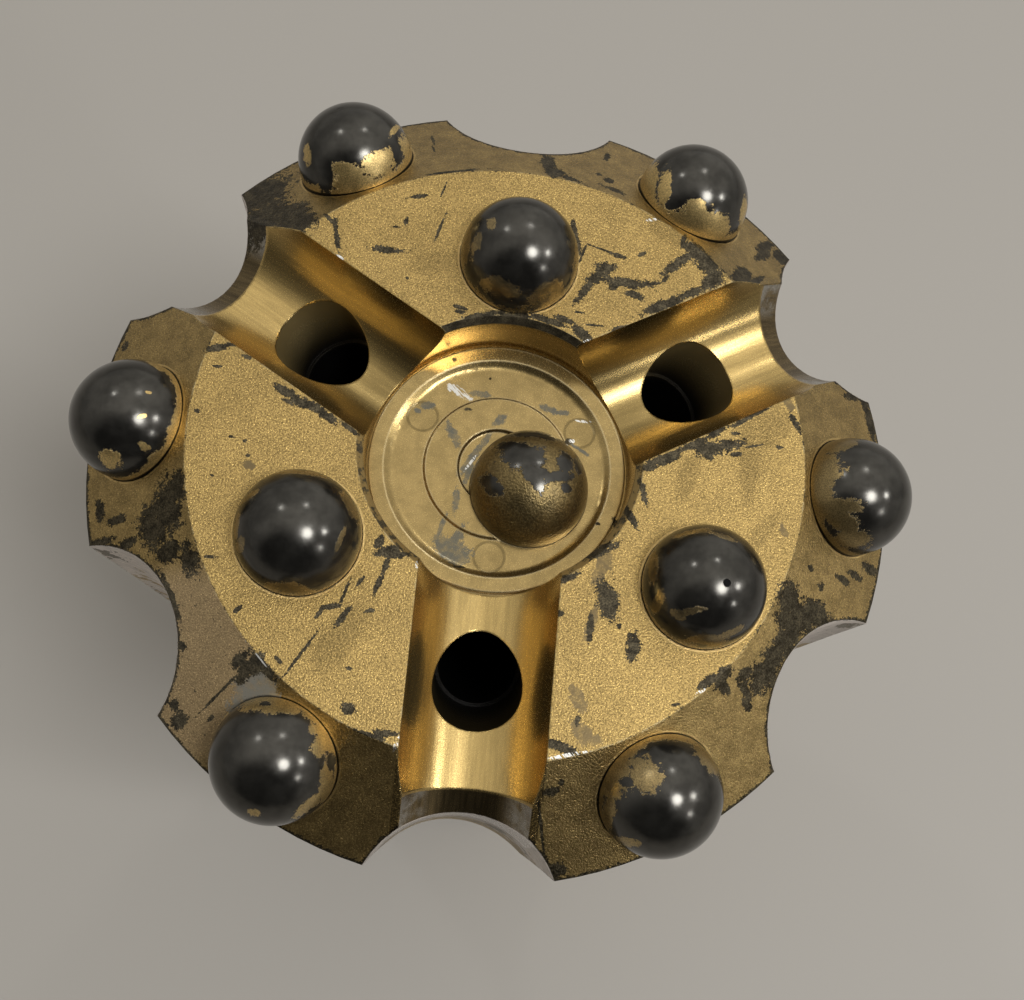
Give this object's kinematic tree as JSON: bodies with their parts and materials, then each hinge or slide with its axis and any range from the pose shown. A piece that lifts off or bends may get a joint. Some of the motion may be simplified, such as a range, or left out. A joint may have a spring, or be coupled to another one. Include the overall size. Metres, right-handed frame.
{
  "type": "button drill bit",
  "caption": "Drop centre rock drill bit with hemispherical carbide buttons, flushing channels, side flutes and a rear threaded socket.",
  "frame": {"origin": "centre of the skirt's rear rim, on the drilling axis, in the plane that the bit stands on", "axes": "+Z along the drilling axis from the rear rim to the face, -Y along one of the three flushing channels"},
  "size_m": [0.0892, 0.0848, 0.1368],
  "materials": {
    "painted_steel": "gold paint with a sandy sparkle, worn to dark steel at edges and rubbed patches",
    "carbide": "ground and polished tungsten carbide, dark grey, with gold overspray around the foot"
  },
  "bodies": {
    "root": {"bit_body": "painted_steel", "gauge_button_1": "carbide", "gauge_button_2": "carbide", "gauge_button_3": "carbide", "gauge_button_4": "carbide", "gauge_button_5": "carbide", "gauge_button_6": "carbide", "face_button_1": "carbide", "face_button_2": "carbide", "face_button_3": "carbide", "centre_button": "carbide"}
  },
  "joints": []
}
